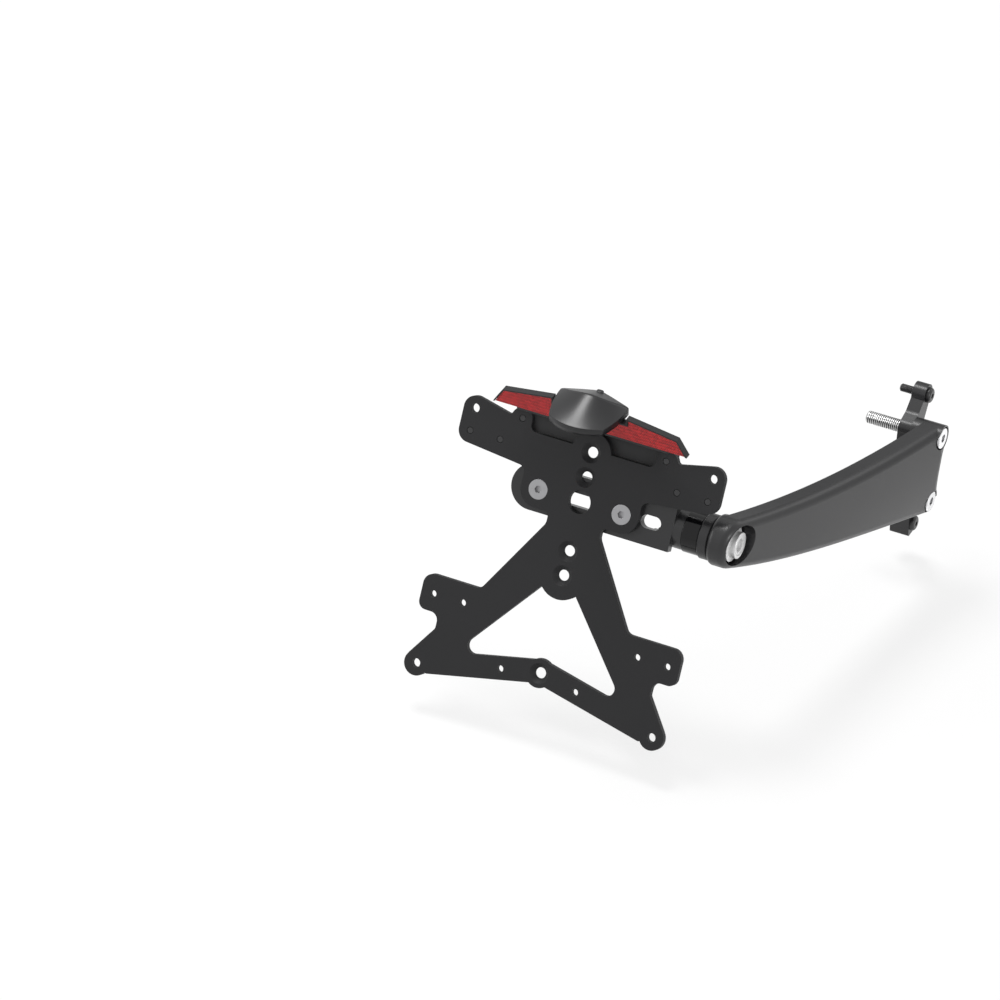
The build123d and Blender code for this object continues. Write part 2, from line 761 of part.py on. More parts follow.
def lamp_roof(sink):
    """The hood's four roof faces as a tall block, lowered by the wall for the hollow."""
    halves = []
    for side in (-1, 1):
        front = lamp_station(
            lamp_front_y - lamp_overrun, lamp_front_z - sink, lamp_tip_y, lamp_front_eave_z - sink, side
        )
        crease = lamp_station(lamp_ridge_y, lamp_ridge_z - sink, lamp_crease_y, lamp_crease_z - sink, side)
        rear = lamp_station(
            lamp_rear_y + lamp_overrun,
            lamp_rear_z - sink,
            lamp_corner_y + lamp_overrun,
            lamp_rear_eave_z - sink,
            side,
        )
        halves.append(loft([front, crease, rear], ruled=True))
    roof = halves[0] + halves[1]
    middle = roof.edges().filter_by_position(Axis.X, -lamp_wall, lamp_wall)
    ridge = [e for e in middle if e.center().Z > lamp_front_z - sink and e.center().Y < lamp_ridge_y]
    return fillet(ridge, lamp_ridge_radius)


def lamp_solid(inset, start):
    """The lamp's outer form, or its hollow when inset is the wall, from the height start."""
    return lamp_roof(inset) & Pos(0, 0, start) * extrude(lamp_plan(inset), amount=lamp_rim_z)


def lamp_housing():
    """The lamp's hood, a moulded shell that is open underneath, with a small lug at its back."""
    body = lamp_solid(0.0, lamp_rim_z) - lamp_solid(lamp_wall, 0.0)
    lug = Pos(0, lamp_lug_y, lamp_rear_z) * Box(lamp_lug_width, lamp_wall * 2, 2 * (lamp_lug_z - lamp_rear_z))
    return LAMP * (body + lug)


def lamp_floor(start, end):
    """A flat piece that closes the hood from below between two depths."""
    plan = extrude(lamp_plan(lamp_floor_inset), amount=lamp_floor_thickness)
    band = Pos(0, (start + end) / 2, 0) * Box(4 * lamp_corner_u, end - start, 4 * lamp_floor_thickness)
    return LAMP * Pos(0, 0, lamp_rim_z - lamp_floor_thickness) * (plan & band)


def lamp_lens():
    """The clear window in the front of the lamp's floor."""
    return lamp_floor(lamp_front_y, lamp_floor_split_y)


def lamp_base():
    """The plate that closes the back of the lamp and stands on the carrier's flange."""
    return lamp_floor(lamp_floor_split_y, lamp_rear_y)


def carrier_leg():
    """The carrier's sheet on the plate's back, with an ear for each stud and an opening in the middle."""
    ears = Pos(0, (carrier_low_v + carrier_ear_top_v) / 2) * Rectangle(
        2 * carrier_ear_u, carrier_ear_top_v - carrier_low_v
    )
    wing_top = 2 * carrier_ear_top_v
    wings = Pos(0, (carrier_low_v + wing_top) / 2) * Rectangle(2 * carrier_wing_u, wing_top - carrier_low_v)
    opening = Pos(0, carrier_opening_v - carrier_opening_u) * Circle(carrier_opening_u)
    opening += Pos(0, (carrier_opening_v - carrier_opening_u) / 2) * Rectangle(
        2 * carrier_opening_u, carrier_opening_v - carrier_opening_u
    )
    leg = Pos(0, 0, -sheet) * extrude(ears + wings - opening, amount=-carrier_sheet)
    for side in (-1, 1):
        leg -= plate_disc(side * insert_u, insert_v, insert_diameter + 2 * screw_clearance, 2 * insert_u)
    return PLATE * leg - LAMP * Pos(0, 0, carrier_shelf_z) * half_space(Align.MIN)


def half_space(side):
    """A block far larger than the part, on one side of the XY plane."""
    size = 4 * pivot_back
    return Box(size, size, size, align=(Align.CENTER, Align.CENTER, side))


def lamp_carrier():
    """The folded sheet that carries the lamp and both reflectors above the plate."""
    front = reflector_face_y + reflector_depth
    low = carrier_shelf_z - carrier_sheet
    shelf = Pos(0, front, low) * Box(
        2 * carrier_wing_u, insert_u, carrier_sheet, align=(Align.CENTER, Align.MIN, Align.MIN)
    )
    shelf = LAMP * shelf - PLATE * Pos(0, 0, -sheet - carrier_sheet) * half_space(Align.MAX)
    strip = Pos(0, front, low) * Box(
        2 * carrier_strip_u, carrier_sheet, carrier_strip_top_z - low, align=(Align.CENTER, Align.MIN, Align.MIN)
    )
    top = lamp_rim_z - lamp_floor_thickness
    strip += Pos(0, front, low) * Box(
        2 * carrier_flange_u, carrier_sheet, top - low, align=(Align.CENTER, Align.MIN, Align.MIN)
    )
    strip += Pos(0, front, top) * Box(
        2 * carrier_flange_u, carrier_flange_y - front, carrier_sheet, align=(Align.CENTER, Align.MIN, Align.MAX)
    )
    return carrier_leg() + shelf + LAMP * strip


def build():
    """Name of each node and the solid that it holds."""
    return {
        "plate_bracket": plate_bracket(),
        "plate_studs": plate_studs(),
        "carrier_nuts": carrier_nuts(),
        "plate_screws": plate_screws(),
        "support_bracket": support_bracket(),
        "side_arm": side_arm(),
        "pivot_bolt": pivot_bolt(),
        "pivot_washer": pivot_washer(),
        "index_ring": index_ring(),
        "pivot_spacer": pivot_spacer(),
        "upper_frame_bolt": upper_frame_bolt(),
        "lower_frame_bolt": lower_frame_bolt(),
        "frame_washers": frame_washers(),
        "adapter_bracket": adapter_bracket(),
        "upper_adapter_screw": upper_adapter_screw(),
        "lower_adapter_screw": lower_adapter_screw(),
        "left_reflector_frame": reflector_frame(-1),
        "right_reflector_frame": reflector_frame(1),
        "left_reflector_lens": reflector_lens(-1),
        "right_reflector_lens": reflector_lens(1),
        "lamp_housing": lamp_housing(),
        "lamp_lens": lamp_lens(),
        "lamp_base": lamp_base(),
        "lamp_carrier": lamp_carrier(),
    }


os.makedirs("parts", exist_ok=True)
for name, solid in build().items():
    export_step(solid, f"parts/{name}.step")
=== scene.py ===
from dataclasses import dataclass, field
from enum import Enum
import logging
import math

import bpy
import numpy as np
from mathutils import Matrix, Vector


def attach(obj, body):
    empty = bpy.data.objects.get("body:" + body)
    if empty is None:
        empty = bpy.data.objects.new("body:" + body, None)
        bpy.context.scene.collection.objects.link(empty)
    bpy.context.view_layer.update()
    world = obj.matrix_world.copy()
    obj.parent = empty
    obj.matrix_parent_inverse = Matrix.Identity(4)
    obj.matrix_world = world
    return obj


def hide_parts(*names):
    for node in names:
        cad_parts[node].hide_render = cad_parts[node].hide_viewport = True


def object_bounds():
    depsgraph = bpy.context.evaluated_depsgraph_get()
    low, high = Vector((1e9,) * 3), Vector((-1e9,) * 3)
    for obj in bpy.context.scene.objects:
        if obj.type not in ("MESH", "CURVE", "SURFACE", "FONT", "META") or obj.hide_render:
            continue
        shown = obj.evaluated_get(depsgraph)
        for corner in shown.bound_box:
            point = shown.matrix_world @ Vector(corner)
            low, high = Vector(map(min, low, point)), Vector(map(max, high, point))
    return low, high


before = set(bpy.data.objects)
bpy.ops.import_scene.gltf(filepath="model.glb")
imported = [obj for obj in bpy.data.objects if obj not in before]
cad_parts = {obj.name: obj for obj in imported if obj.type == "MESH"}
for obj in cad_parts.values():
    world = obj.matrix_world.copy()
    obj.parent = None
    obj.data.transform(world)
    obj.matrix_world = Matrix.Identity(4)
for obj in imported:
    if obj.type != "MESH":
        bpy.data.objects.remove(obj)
CAD_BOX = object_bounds()
LOG = logging.getLogger("plate_holder")
MM = 0.001

# Axes along X, as their places on Y and Z
PIVOT = (-180.1 * MM, 26.0 * MM)
LOWER_BOLT = (-7.5 * MM, -43.5 * MM)

Colour = tuple[float, float, float]
Point = tuple[float, float, float]
Place = tuple[float, float]


class Body(Enum):
    """The two bodies of the part, which turn against each other at the pivot."""

    ARM = "arm"
    PLATE = "plate"


class Finish(Enum):
    """Names of the record's material slots."""

    POWDER = "powder_black"
    ARM = "arm_black"
    MACHINED = "machined_black"
    RING = "ring_black"
    BRIGHT = "bright_steel"
    GREY = "grey_steel"
    OXIDE = "black_steel"
    RED = "reflector_red"
    PLASTIC = "black_plastic"
    LAMP = "lamp_black"
    CLEAR = "clear_lens"


# CAD nodes that get a variant of their finish. The carrier and washer variants are lighter copies
# that paint light on them.
VARIANTS = {
    "pivot_bolt": "pivot", "pivot_washer": "washer", "lower_frame_bolt": "lower",
    "lamp_carrier": "carrier", "support_bracket": "bracket",
}


# Node trees


class Tree:
    """A thin helper that adds and joins nodes in one node tree."""

    def __init__(self, tree: bpy.types.NodeTree) -> None:
        """Keeps the tree.

        Args:
            tree: the material's or the group's node tree.
        """
        self.tree = tree

    def add(self, kind: str, inputs: dict | None = None, **settings: object) -> bpy.types.Node:
        """Adds a node.

        Args:
            kind: the node's type name without its ShaderNode prefix.
            inputs: what goes into its sockets, each a value or another node's output socket.
            settings: the node's own settings.

        Returns:
            The new node.
        """
        node = self.tree.nodes.new("ShaderNode" + kind)
        for name, value in settings.items():
            setattr(node, name, value)
        for name, value in (inputs or {}).items():
            self.feed(node.inputs[name], value)
        return node

    def feed(self, socket: bpy.types.NodeSocket, value: object) -> None:
        """Links an output socket to the socket, or writes a plain value on it.

        Args:
            socket: the input socket.
            value: the output socket or the plain value.
        """
        if isinstance(value, bpy.types.NodeSocket):
            self.tree.links.new(value, socket)
        else:
            socket.default_value = value

    def math(self, operation: str, *values: object) -> bpy.types.NodeSocket:
        """A Math node.

        Args:
            operation: the operation's name.
            values: its operands, plain numbers or sockets.

        Returns:
            The result's socket.
        """
        node = self.add("Math", operation=operation)
        for socket, value in zip(node.inputs, values):
            self.feed(socket, value)
        return node.outputs[0]

    def vector(self, operation: str, *values: object) -> bpy.types.Node:
        """A Vector Math node.

        Args:
            operation: the operation's name.
            values: its operands, plain vectors or sockets.

        Returns:
            The node, because some operations put out a vector and some a value.
        """
        node = self.add("VectorMath", operation=operation)
        for socket, value in zip(node.inputs, values):
            self.feed(socket, value)
        return node

    def group(self, made: bpy.types.NodeTree, inputs: dict) -> bpy.types.Node:
        """Places a node group in this tree.

        Args:
            made: the group.
            inputs: its own values here, or the sockets that feed it.

        Returns:
            The group's node.
        """
        node = self.tree.nodes.new("ShaderNodeGroup")
        node.node_tree = made
        for name, value in inputs.items():
            self.feed(node.inputs[name], value)
        return node


class Effects:
    """Shader node groups that more than one finish uses, each built once."""

    edge_cosines: tuple[float, float] = (0.995, 0.85)
    edge_samples: int = 6
    ramp_turns: tuple[float, float, float] = (90.0, 210.0, 330.0)
    ramp_match: float = 1e-4
    centre_grid: float = 0.05

    def __init__(self) -> None:
        """Builds every group."""
        self.grain = self._grain()
        self.soft_edge = self._soft_edge()
        self.turned = self._turned()
        self.prisms = self._prisms()

    @staticmethod
    def _new(
        name: str, inputs: dict[str, float], outputs: dict[str, str]
    ) -> tuple[Tree, bpy.types.Node, bpy.types.Node]:
        """Starts a group.

        Args:
            name: the group's name.
            inputs: its float inputs with their default values.
            outputs: its outputs with their socket types.

        Returns:
            The tree helper, the group's input node and its output node.
        """
        tree = bpy.data.node_groups.new(name, "ShaderNodeTree")
        for label, value in inputs.items():
            socket = tree.interface.new_socket(label, in_out="INPUT", socket_type="NodeSocketFloat")
            socket.default_value = value
        for label, kind in outputs.items():
            tree.interface.new_socket(label, in_out="OUTPUT", socket_type=kind)
        kit = Tree(tree)
        return kit, tree.nodes.new("NodeGroupInput"), tree.nodes.new("NodeGroupOutput")

    def _grain(self) -> bpy.types.NodeTree:
        """Fine grain of a coat or blasted skin, with a broad mottle.

        Returns:
            A group with the inputs Grain (its size in metres) and Mottle (likewise), and the
            outputs Height and Tone.
        """
        kit, given, out = self._new(
            "fine_grain", {"Grain": 0.4 * MM, "Mottle": 20 * MM},
            {"Height": "NodeSocketFloat", "Tone": "NodeSocketFloat"},
        )
        place = kit.add("TexCoord").outputs["Object"]
        fine = kit.add("TexNoise", {"Vector": place, "Detail": 2.0, "Roughness": 0.6,
                                    "Scale": kit.math("DIVIDE", 1.0, given.outputs["Grain"])})
        broad = kit.add("TexNoise", {"Vector": place, "Detail": 3.0, "Roughness": 0.5,
                                     "Scale": kit.math("DIVIDE", 1.0, given.outputs["Mottle"])})
        kit.feed(out.inputs["Height"], fine.outputs["Fac"])
        kit.feed(out.inputs["Tone"], broad.outputs["Fac"])
        return kit.tree

    def _soft_edge(self) -> bpy.types.NodeTree:
        """The small round of a deburred or coated edge.

        Returns:
            A group with the input Radius in metres, and the outputs Normal and Edge, a mask of the
            edges.
        """
        kit, given, out = self._new(
            "soft_edge", {"Radius": 0.3 * MM},
            {"Normal": "NodeSocketVector", "Edge": "NodeSocketFloat"},
        )
        bevel = kit.add("Bevel", {"Radius": given.outputs["Radius"]}, samples=self.edge_samples)
        rounded = bevel.outputs["Normal"]
        flat = kit.add("NewGeometry").outputs["Normal"]
        facing = kit.vector("DOT_PRODUCT", rounded, flat).outputs["Value"]
        edge = kit.add("MapRange", {"Value": facing, "From Min": self.edge_cosines[0],
                                    "From Max": self.edge_cosines[1]})
        kit.feed(out.inputs["Normal"], rounded)
        kit.feed(out.inputs["Edge"], edge.outputs["Result"])
        return kit.tree

    def _turned(self) -> bpy.types.NodeTree:
        """Fine rings of a turned face or barrel round an axis along X.

        Returns:
            A group with the inputs Back and Rise (the axis in metres) and Pitch, and the output
            Height.
        """
        kit, given, out = self._new(
            "turned_rings", {"Back": 0.0, "Rise": 0.0, "Pitch": 0.3 * MM},
            {"Height": "NodeSocketFloat"},
        )
        place = kit.add("SeparateXYZ", {"Vector": kit.add("TexCoord").outputs["Object"]})
        back = kit.math("SUBTRACT", place.outputs["Y"], given.outputs["Back"])
        rise = kit.math("SUBTRACT", place.outputs["Z"], given.outputs["Rise"])
        squares = [kit.math("MULTIPLY", side, side) for side in (back, rise)]
        radius = kit.math("SQRT", kit.math("ADD", *squares))
        along = kit.math("ADD", radius, place.outputs["X"])
        rings = kit.add("TexNoise", {"W": kit.math("DIVIDE", along, given.outputs["Pitch"]),
                                     "Scale": 1.0, "Detail": 2.0}, noise_dimensions="1D")
        kit.feed(out.inputs["Height"], rings.outputs["Fac"])
        return kit.tree

    def _prisms(self) -> bpy.types.NodeTree:
        """Honeycomb of corner prisms behind a reflector's face, drawn across X and Z.

        The plane is tiled with hexagons: of two brick grids of cells, one offset by half a cell,
        each point takes the nearer centre. Inside a cell the height is the lowest of three ramps
        that face 120 degrees apart.

        Returns:
            A group with the input Cell (a hexagon's width in metres), and the outputs Height, Tone
            and Facet.
        """
        kit, given, out = self._new(
            "corner_prisms", {"Cell": 1.8 * MM},
            {"Height": "NodeSocketFloat", "Tone": "NodeSocketFloat", "Facet": "NodeSocketFloat"},
        )
        place = kit.add("SeparateXYZ", {"Vector": kit.add("TexCoord").outputs["Object"]})
        size = given.outputs["Cell"]
        flat = kit.add("CombineXYZ", {"X": kit.math("DIVIDE", place.outputs["X"], size),
                                      "Y": kit.math("DIVIDE", place.outputs["Z"], size)})
        half = (0.5, math.sqrt(3.0) / 2.0, 0.5)
        back = tuple(-h for h in half)
        first = kit.vector("WRAP", flat.outputs[0], half, back).outputs[0]
        shifted = kit.vector("SUBTRACT", flat.outputs[0], half).outputs[0]
        second = kit.vector("WRAP", shifted, half, back).outputs[0]
        nearer = kit.math("LESS_THAN", kit.vector("LENGTH", first).outputs["Value"],
                          kit.vector("LENGTH", second).outputs["Value"])
        local = kit.add("Mix", data_type="VECTOR")
        # A Mix node has its vectors on inputs 4 and 5 and output 1
        for socket, value in ((0, nearer), (4, second), (5, first)):
            kit.feed(local.inputs[socket], value)
        inside = local.outputs[1]
        ramps = []
        for turn in self.ramp_turns:
            way = (math.cos(math.radians(turn)), math.sin(math.radians(turn)), 0.0)
            ramps.append(kit.vector("DOT_PRODUCT", inside, way).outputs["Value"])
        low = kit.math("MINIMUM", kit.math("MINIMUM", ramps[0], ramps[1]), ramps[2])
        above = [kit.math("ABSOLUTE", kit.math("SUBTRACT", ramp, low)) for ramp in ramps[1:]]
        second_ramp, third_ramp = (kit.math("LESS_THAN", gap, self.ramp_match) for gap in above)
        facet = kit.math("ADD", kit.math("MULTIPLY", second_ramp, 0.5), third_ramp)
        middle = kit.vector("SUBTRACT", flat.outputs[0], inside).outputs[0]
        centre = kit.vector("SNAP", middle, (self.centre_grid,) * 3)
        tone = kit.add("TexWhiteNoise", {"Vector": centre.outputs[0]}, noise_dimensions="3D")
        kit.feed(out.inputs["Height"], low)
        kit.feed(out.inputs["Tone"], tone.outputs["Value"])
        kit.feed(out.inputs["Facet"], facet)
        return kit.tree


# Finishes


@dataclass(frozen=True)
class Coat:
    """A black coat or moulded plastic: fine grain, broad mottle, and lighter edges that stand
    partly for wear and partly for a painted edge highlight.
    """

    colour: Colour
    roughness: float
    specular: float = 0.35
    grain: float = 0.35 * MM
    bump: float = 0.02 * MM
    mottle: float = 18 * MM
    spread: float = 0.12
    edge_radius: float = 0.35 * MM
    edge_lift: float = 1.6
    gloss_coat: float = 0.0
    coat_roughness: float = 0.14
    roughness_play: float = 0.04

    def build(self, name: str, effects: Effects) -> bpy.types.Material:
        """Makes the material.

        Args:
            name: the material's name.
            effects: the shared groups.

        Returns:
            The material.
        """
        made, kit, shader = new_material(name)
        grain = kit.group(effects.grain, {"Grain": self.grain, "Mottle": self.mottle})
        edge = kit.group(effects.soft_edge, {"Radius": self.edge_radius})
        dark = tuple(c * (1.0 - self.spread) for c in self.colour) + (1.0,)
        light = tuple(c * (1.0 + self.spread) for c in self.colour) + (1.0,)
        # edges painted lighter: partly wear, partly a painted highlight along them
        edge_wear_and_highlight = tuple(c * self.edge_lift for c in self.colour) + (1.0,)
        tone = mix_colour(kit, grain.outputs["Tone"], dark, light)
        kit.feed(shader.inputs["Base Color"], mix_colour(kit, edge.outputs["Edge"], tone, edge_wear_and_highlight))
        rough = kit.add("MapRange", {"Value": grain.outputs["Tone"],
                                     "To Min": self.roughness - self.roughness_play,
                                     "To Max": self.roughness + self.roughness_play})
        kit.feed(shader.inputs["Roughness"], rough.outputs["Result"])
        bump = kit.add("Bump", {"Height": grain.outputs["Height"], "Distance": self.bump,
                                "Normal": edge.outputs["Normal"]})
        kit.feed(shader.inputs["Normal"], bump.outputs["Normal"])
        shader.inputs["Specular IOR Level"].default_value = self.specular
        shader.inputs["Coat Weight"].default_value = self.gloss_coat
        shader.inputs["Coat Roughness"].default_value = self.coat_roughness
        return made


@dataclass(frozen=True)
class Steel:
    """Plated or stainless steel with turned rings round one axis and softened edges."""

    colour: Colour
    roughness: float
    back: float = 0.0
    rise: float = 0.0
    pitch: float = 0.25 * MM
    bump: float = 0.006 * MM
    metallic: float = 1.0
    edge_radius: float = 0.25 * MM
    grain: float = 0.5 * MM
    mottle: float = 4 * MM
    dimmest: float = 0.86
    roughness_play: tuple[float, float] = (-0.05, 0.08)

    def build(self, name: str, effects: Effects) -> bpy.types.Material:
        """Makes the material.

        Args:
            name: the material's name.
            effects: the shared groups.

        Returns:
            The material.
        """
        made, kit, shader = new_material(name)
        grain = kit.group(effects.grain, {"Grain": self.grain, "Mottle": self.mottle})
        rings = kit.group(
            effects.turned, {"Back": self.back, "Rise": self.rise, "Pitch": self.pitch})
        edge = kit.group(effects.soft_edge, {"Radius": self.edge_radius})
        dark = tuple(c * self.dimmest for c in self.colour) + (1.0,)
        tone = mix_colour(kit, grain.outputs["Tone"], dark, self.colour + (1.0,))
        kit.feed(shader.inputs["Base Color"], tone)
        rough = kit.add("MapRange", {"Value": rings.outputs["Height"],
                                     "To Min": self.roughness + self.roughness_play[0],
                                     "To Max": self.roughness + self.roughness_play[1]})
        kit.feed(shader.inputs["Roughness"], rough.outputs["Result"])
        bump = kit.add("Bump", {"Height": rings.outputs["Height"], "Distance": self.bump,
                                "Normal": edge.outputs["Normal"]})
        kit.feed(shader.inputs["Normal"], bump.outputs["Normal"])
        shader.inputs["Metallic"].default_value = self.metallic
        return made


@dataclass(frozen=True)
class Thread:
    """A screw thread whose grooves are painted dark as shade. Its piece's own groove attribute is 1
    on the crests.
    """

    crest: Colour
    groove_shade: Colour
    roughness: float
    metallic: float
    grain: float = 0.3 * MM
    mottle: float = 3 * MM
    roughness_play: float = 0.06

    def build(self, name: str, effects: Effects) -> bpy.types.Material:
        """Makes the material.

        Args:
            name: the material's name.
            effects: the shared groups.

        Returns:
            The material.
        """
        made, kit, shader = new_material(name)
        crest = kit.add("Attribute", attribute_name="groove").outputs["Fac"]
        grain = kit.group(effects.grain, {"Grain": self.grain, "Mottle": self.mottle})
        # painted shade: the grooves get the dark colour, the crests the metal's own
        tone = mix_colour(kit, crest, self.groove_shade + (1.0,), self.crest + (1.0,))
        kit.feed(shader.inputs["Base Color"], tone)
        rough = kit.add("MapRange", {"Value": grain.outputs["Tone"],
                                     "To Min": self.roughness - self.roughness_play,
                                     "To Max": self.roughness + self.roughness_play})
        kit.feed(shader.inputs["Roughness"], rough.outputs["Result"])
        shader.inputs["Metallic"].default_value = self.metallic
        return made


@dataclass(frozen=True)
class ReflectorRed:
    """Red plastic over a honeycomb of corner prisms, with a smooth outer face. Each facet is
    painted a lighter or darker red as painted shade.
    """

    dark: Colour = (0.1, 0.003, 0.004)
    light: Colour = (0.62, 0.018, 0.02)
    cell: float = 1.2 * MM
    depth: float = 0.12 * MM
    facet_shade_share: float = 0.6
    tone_share: float = 0.4
    relief: float = 0.6
    roughness: float = 0.35
    specular: float = 0.25
    gloss_coat: float = 0.12
    coat_roughness: float = 0.06

    def build(self, name: str, effects: Effects) -> bpy.types.Material:
        """Makes the material.

        Args:
            name: the material's name.
            effects: the shared groups.

        Returns:
            The material.
        """
        made, kit, shader = new_material(name)
        cells = kit.group(effects.prisms, {"Cell": self.cell})
        # painted light and shade: each facet gets a lighter or darker red, and each cell a random
        # tone
        shade = kit.math("ADD", kit.math("MULTIPLY", cells.outputs["Facet"], self.facet_shade_share),
                         kit.math("MULTIPLY", cells.outputs["Tone"], self.tone_share))
        tone = mix_colour(kit, shade, self.dark + (1.0,), self.light + (1.0,))
        kit.feed(shader.inputs["Base Color"], tone)
        bump = kit.add("Bump", {"Height": cells.outputs["Height"], "Distance": self.depth,
                                "Strength": self.relief})
        kit.feed(shader.inputs["Normal"], bump.outputs["Normal"])
        shader.inputs["Roughness"].default_value = self.roughness
        shader.inputs["Specular IOR Level"].default_value = self.specular
        shader.inputs["Coat Weight"].default_value = self.gloss_coat
        shader.inputs["Coat Roughness"].default_value = self.coat_roughness
        return made


@dataclass(frozen=True)
class ClearWindow:
    """The lamp's clear moulded window, with a faint ripple."""

    tint: Colour = (0.86, 0.89, 0.9)
    dimmest: float = 0.93
    ripple: float = 2.5 * MM
    mottle: float = 9 * MM
    depth: float = 0.05 * MM
    roughness: float = 0.08
    clearness: float = 0.85
    refraction: float = 1.49

    def build(self, name: str, effects: Effects) -> bpy.types.Material:
        """Makes the material.

        Args:
            name: the material's name.
            effects: the shared groups.

        Returns:
            The material.
        """
        made, kit, shader = new_material(name)
        grain = kit.group(effects.grain, {"Grain": self.ripple, "Mottle": self.mottle})
        faint = tuple(c * self.dimmest for c in self.tint) + (1.0,)
        tone = mix_colour(kit, grain.outputs["Tone"], faint, self.tint + (1.0,))
        kit.feed(shader.inputs["Base Color"], tone)
        bump = kit.add("Bump", {"Height": grain.outputs["Height"], "Distance": self.depth})
        kit.feed(shader.inputs["Normal"], bump.outputs["Normal"])
        shader.inputs["Roughness"].default_value = self.roughness
        shader.inputs["Transmission Weight"].default_value = self.clearness
        shader.inputs["IOR"].default_value = self.refraction
        return made


def new_material(name: str) -> tuple[bpy.types.Material, Tree, bpy.types.Node]:
    """Starts a material.

    Args:
        name: its name.

    Returns:
        The material, its tree helper and its Principled shader.
    """
    made = bpy.data.materials.new(name)
    made.use_nodes = True
    return made, Tree(made.node_tree), made.node_tree.nodes["Principled BSDF"]


def mix_colour(kit: Tree, share: object, first: object, second: object) -> bpy.types.NodeSocket:
    """Blends two colours.

    Args:
        kit: the tree to add to.
        share: how much of the second, a number or a socket.
        first: the colour at 0, a plain colour or a socket.
        second: the colour at 1, likewise.

    Returns:
        The blend's socket.
    """
    node = kit.add("Mix", data_type="RGBA")
    # A Mix node has its colours on inputs 6 and 7 and output 2
    for socket, value in ((0, share), (6, first), (7, second)):
        kit.feed(node.inputs[socket], value)
    return node.outputs[2]


# Meshes


def grid_mesh(name: str, rows: np.ndarray) -> bpy.types.Object:
    """Turns a grid of points into a closed mesh object.

    Each cell of the grid becomes a quad, the last column joins the first, and each end row is
    closed with a fan round its middle point.

    Args:
        name: the object's name.
        rows: points of shape (rows, columns, 3), in metres.

    Returns:
        The object, linked to the scene.
    """
    count, width = rows.shape[:2]
    left = np.arange(count * width).reshape(count, width)
    right = np.roll(left, -1, axis=1)
    quads = np.stack([left[:-1], right[:-1], right[1:], left[1:]], axis=-1).reshape(-1, 4)
    points = np.vstack([rows.reshape(-1, 3), rows[0].mean(0), rows[-1].mean(0)])
    first, last = count * width, count * width + 1
    start = np.stack([right[0], left[0], np.full(width, first)], axis=-1)
    end = np.stack([left[-1], right[-1], np.full(width, last)], axis=-1)
    mesh = bpy.data.meshes.new(name)
    mesh.from_pydata(points, [], quads.tolist() + start.tolist() + end.tolist())
    mesh.polygons.foreach_set("use_smooth", np.ones(len(mesh.polygons), bool))
    mesh.update()
    made = bpy.data.objects.new(name, mesh)
    bpy.context.scene.collection.objects.link(made)
    return made


@dataclass
class ThreadedEnd:
    """The free threaded end of a screw that points along -X, with its sizes in metres.

    root and crest are radii. flat_level and flank give the wave its flat crests and its slopes, and
    tip_drop and tip_slope shape the chamfer.
    """

    name: str
    back: float
    rise: float
    start: float
    end: float
    root: float
    crest: float
    pitch: float
    finish: Finish
    tip_drop: float = 0.315
    tip_slope: float = 1.15
    flat_level: float = 1.6
    flank: float = 4.14
    around: int = 48
    per_turn: int = 10

    def build(self) -> bpy.types.Object:
        """Builds the thread.

        The radius is a trapezium wave of the turns along the axis less the share of a turn round
        it, from the root to the crest. A cone that narrows towards the tip caps it, which leaves
        the chamfer there.

        Returns:
            The thread's object.
        """
        length = self.start - self.end
        steps = int(length / self.pitch * self.per_turn)
        along = np.linspace(0.0, length, steps)[:, None]
        turn = np.linspace(0.0, 1.0, self.around, endpoint=False)[None, :]
        phase = (along / self.pitch - turn) % 1.0
        wave = np.clip(self.flat_level - self.flank * np.abs(phase - 0.5), 0.0, 1.0)
        cone = self.crest * (1.0 - self.tip_drop) + (length - along) * self.tip_slope
        radius = np.minimum(self.root + (self.crest - self.root) * wave, cone)
        angle = turn * 2.0 * math.pi
        x = np.broadcast_to(self.start - along, radius.shape)
        y, z = self.back + radius * np.cos(angle), self.rise + radius * np.sin(angle)
        rows = np.stack([x, y, z], axis=-1)
        made = grid_mesh(self.name, rows[::-1])
        # 1 on the crests and 0 in the grooves, where the thread finish paints shade
        groove = np.concatenate([wave[::-1].ravel(), [0.0, 0.0]]).astype(np.float32)
        made.data.attributes.new("groove", "FLOAT", "POINT").data.foreach_set("value", groove)
        return made


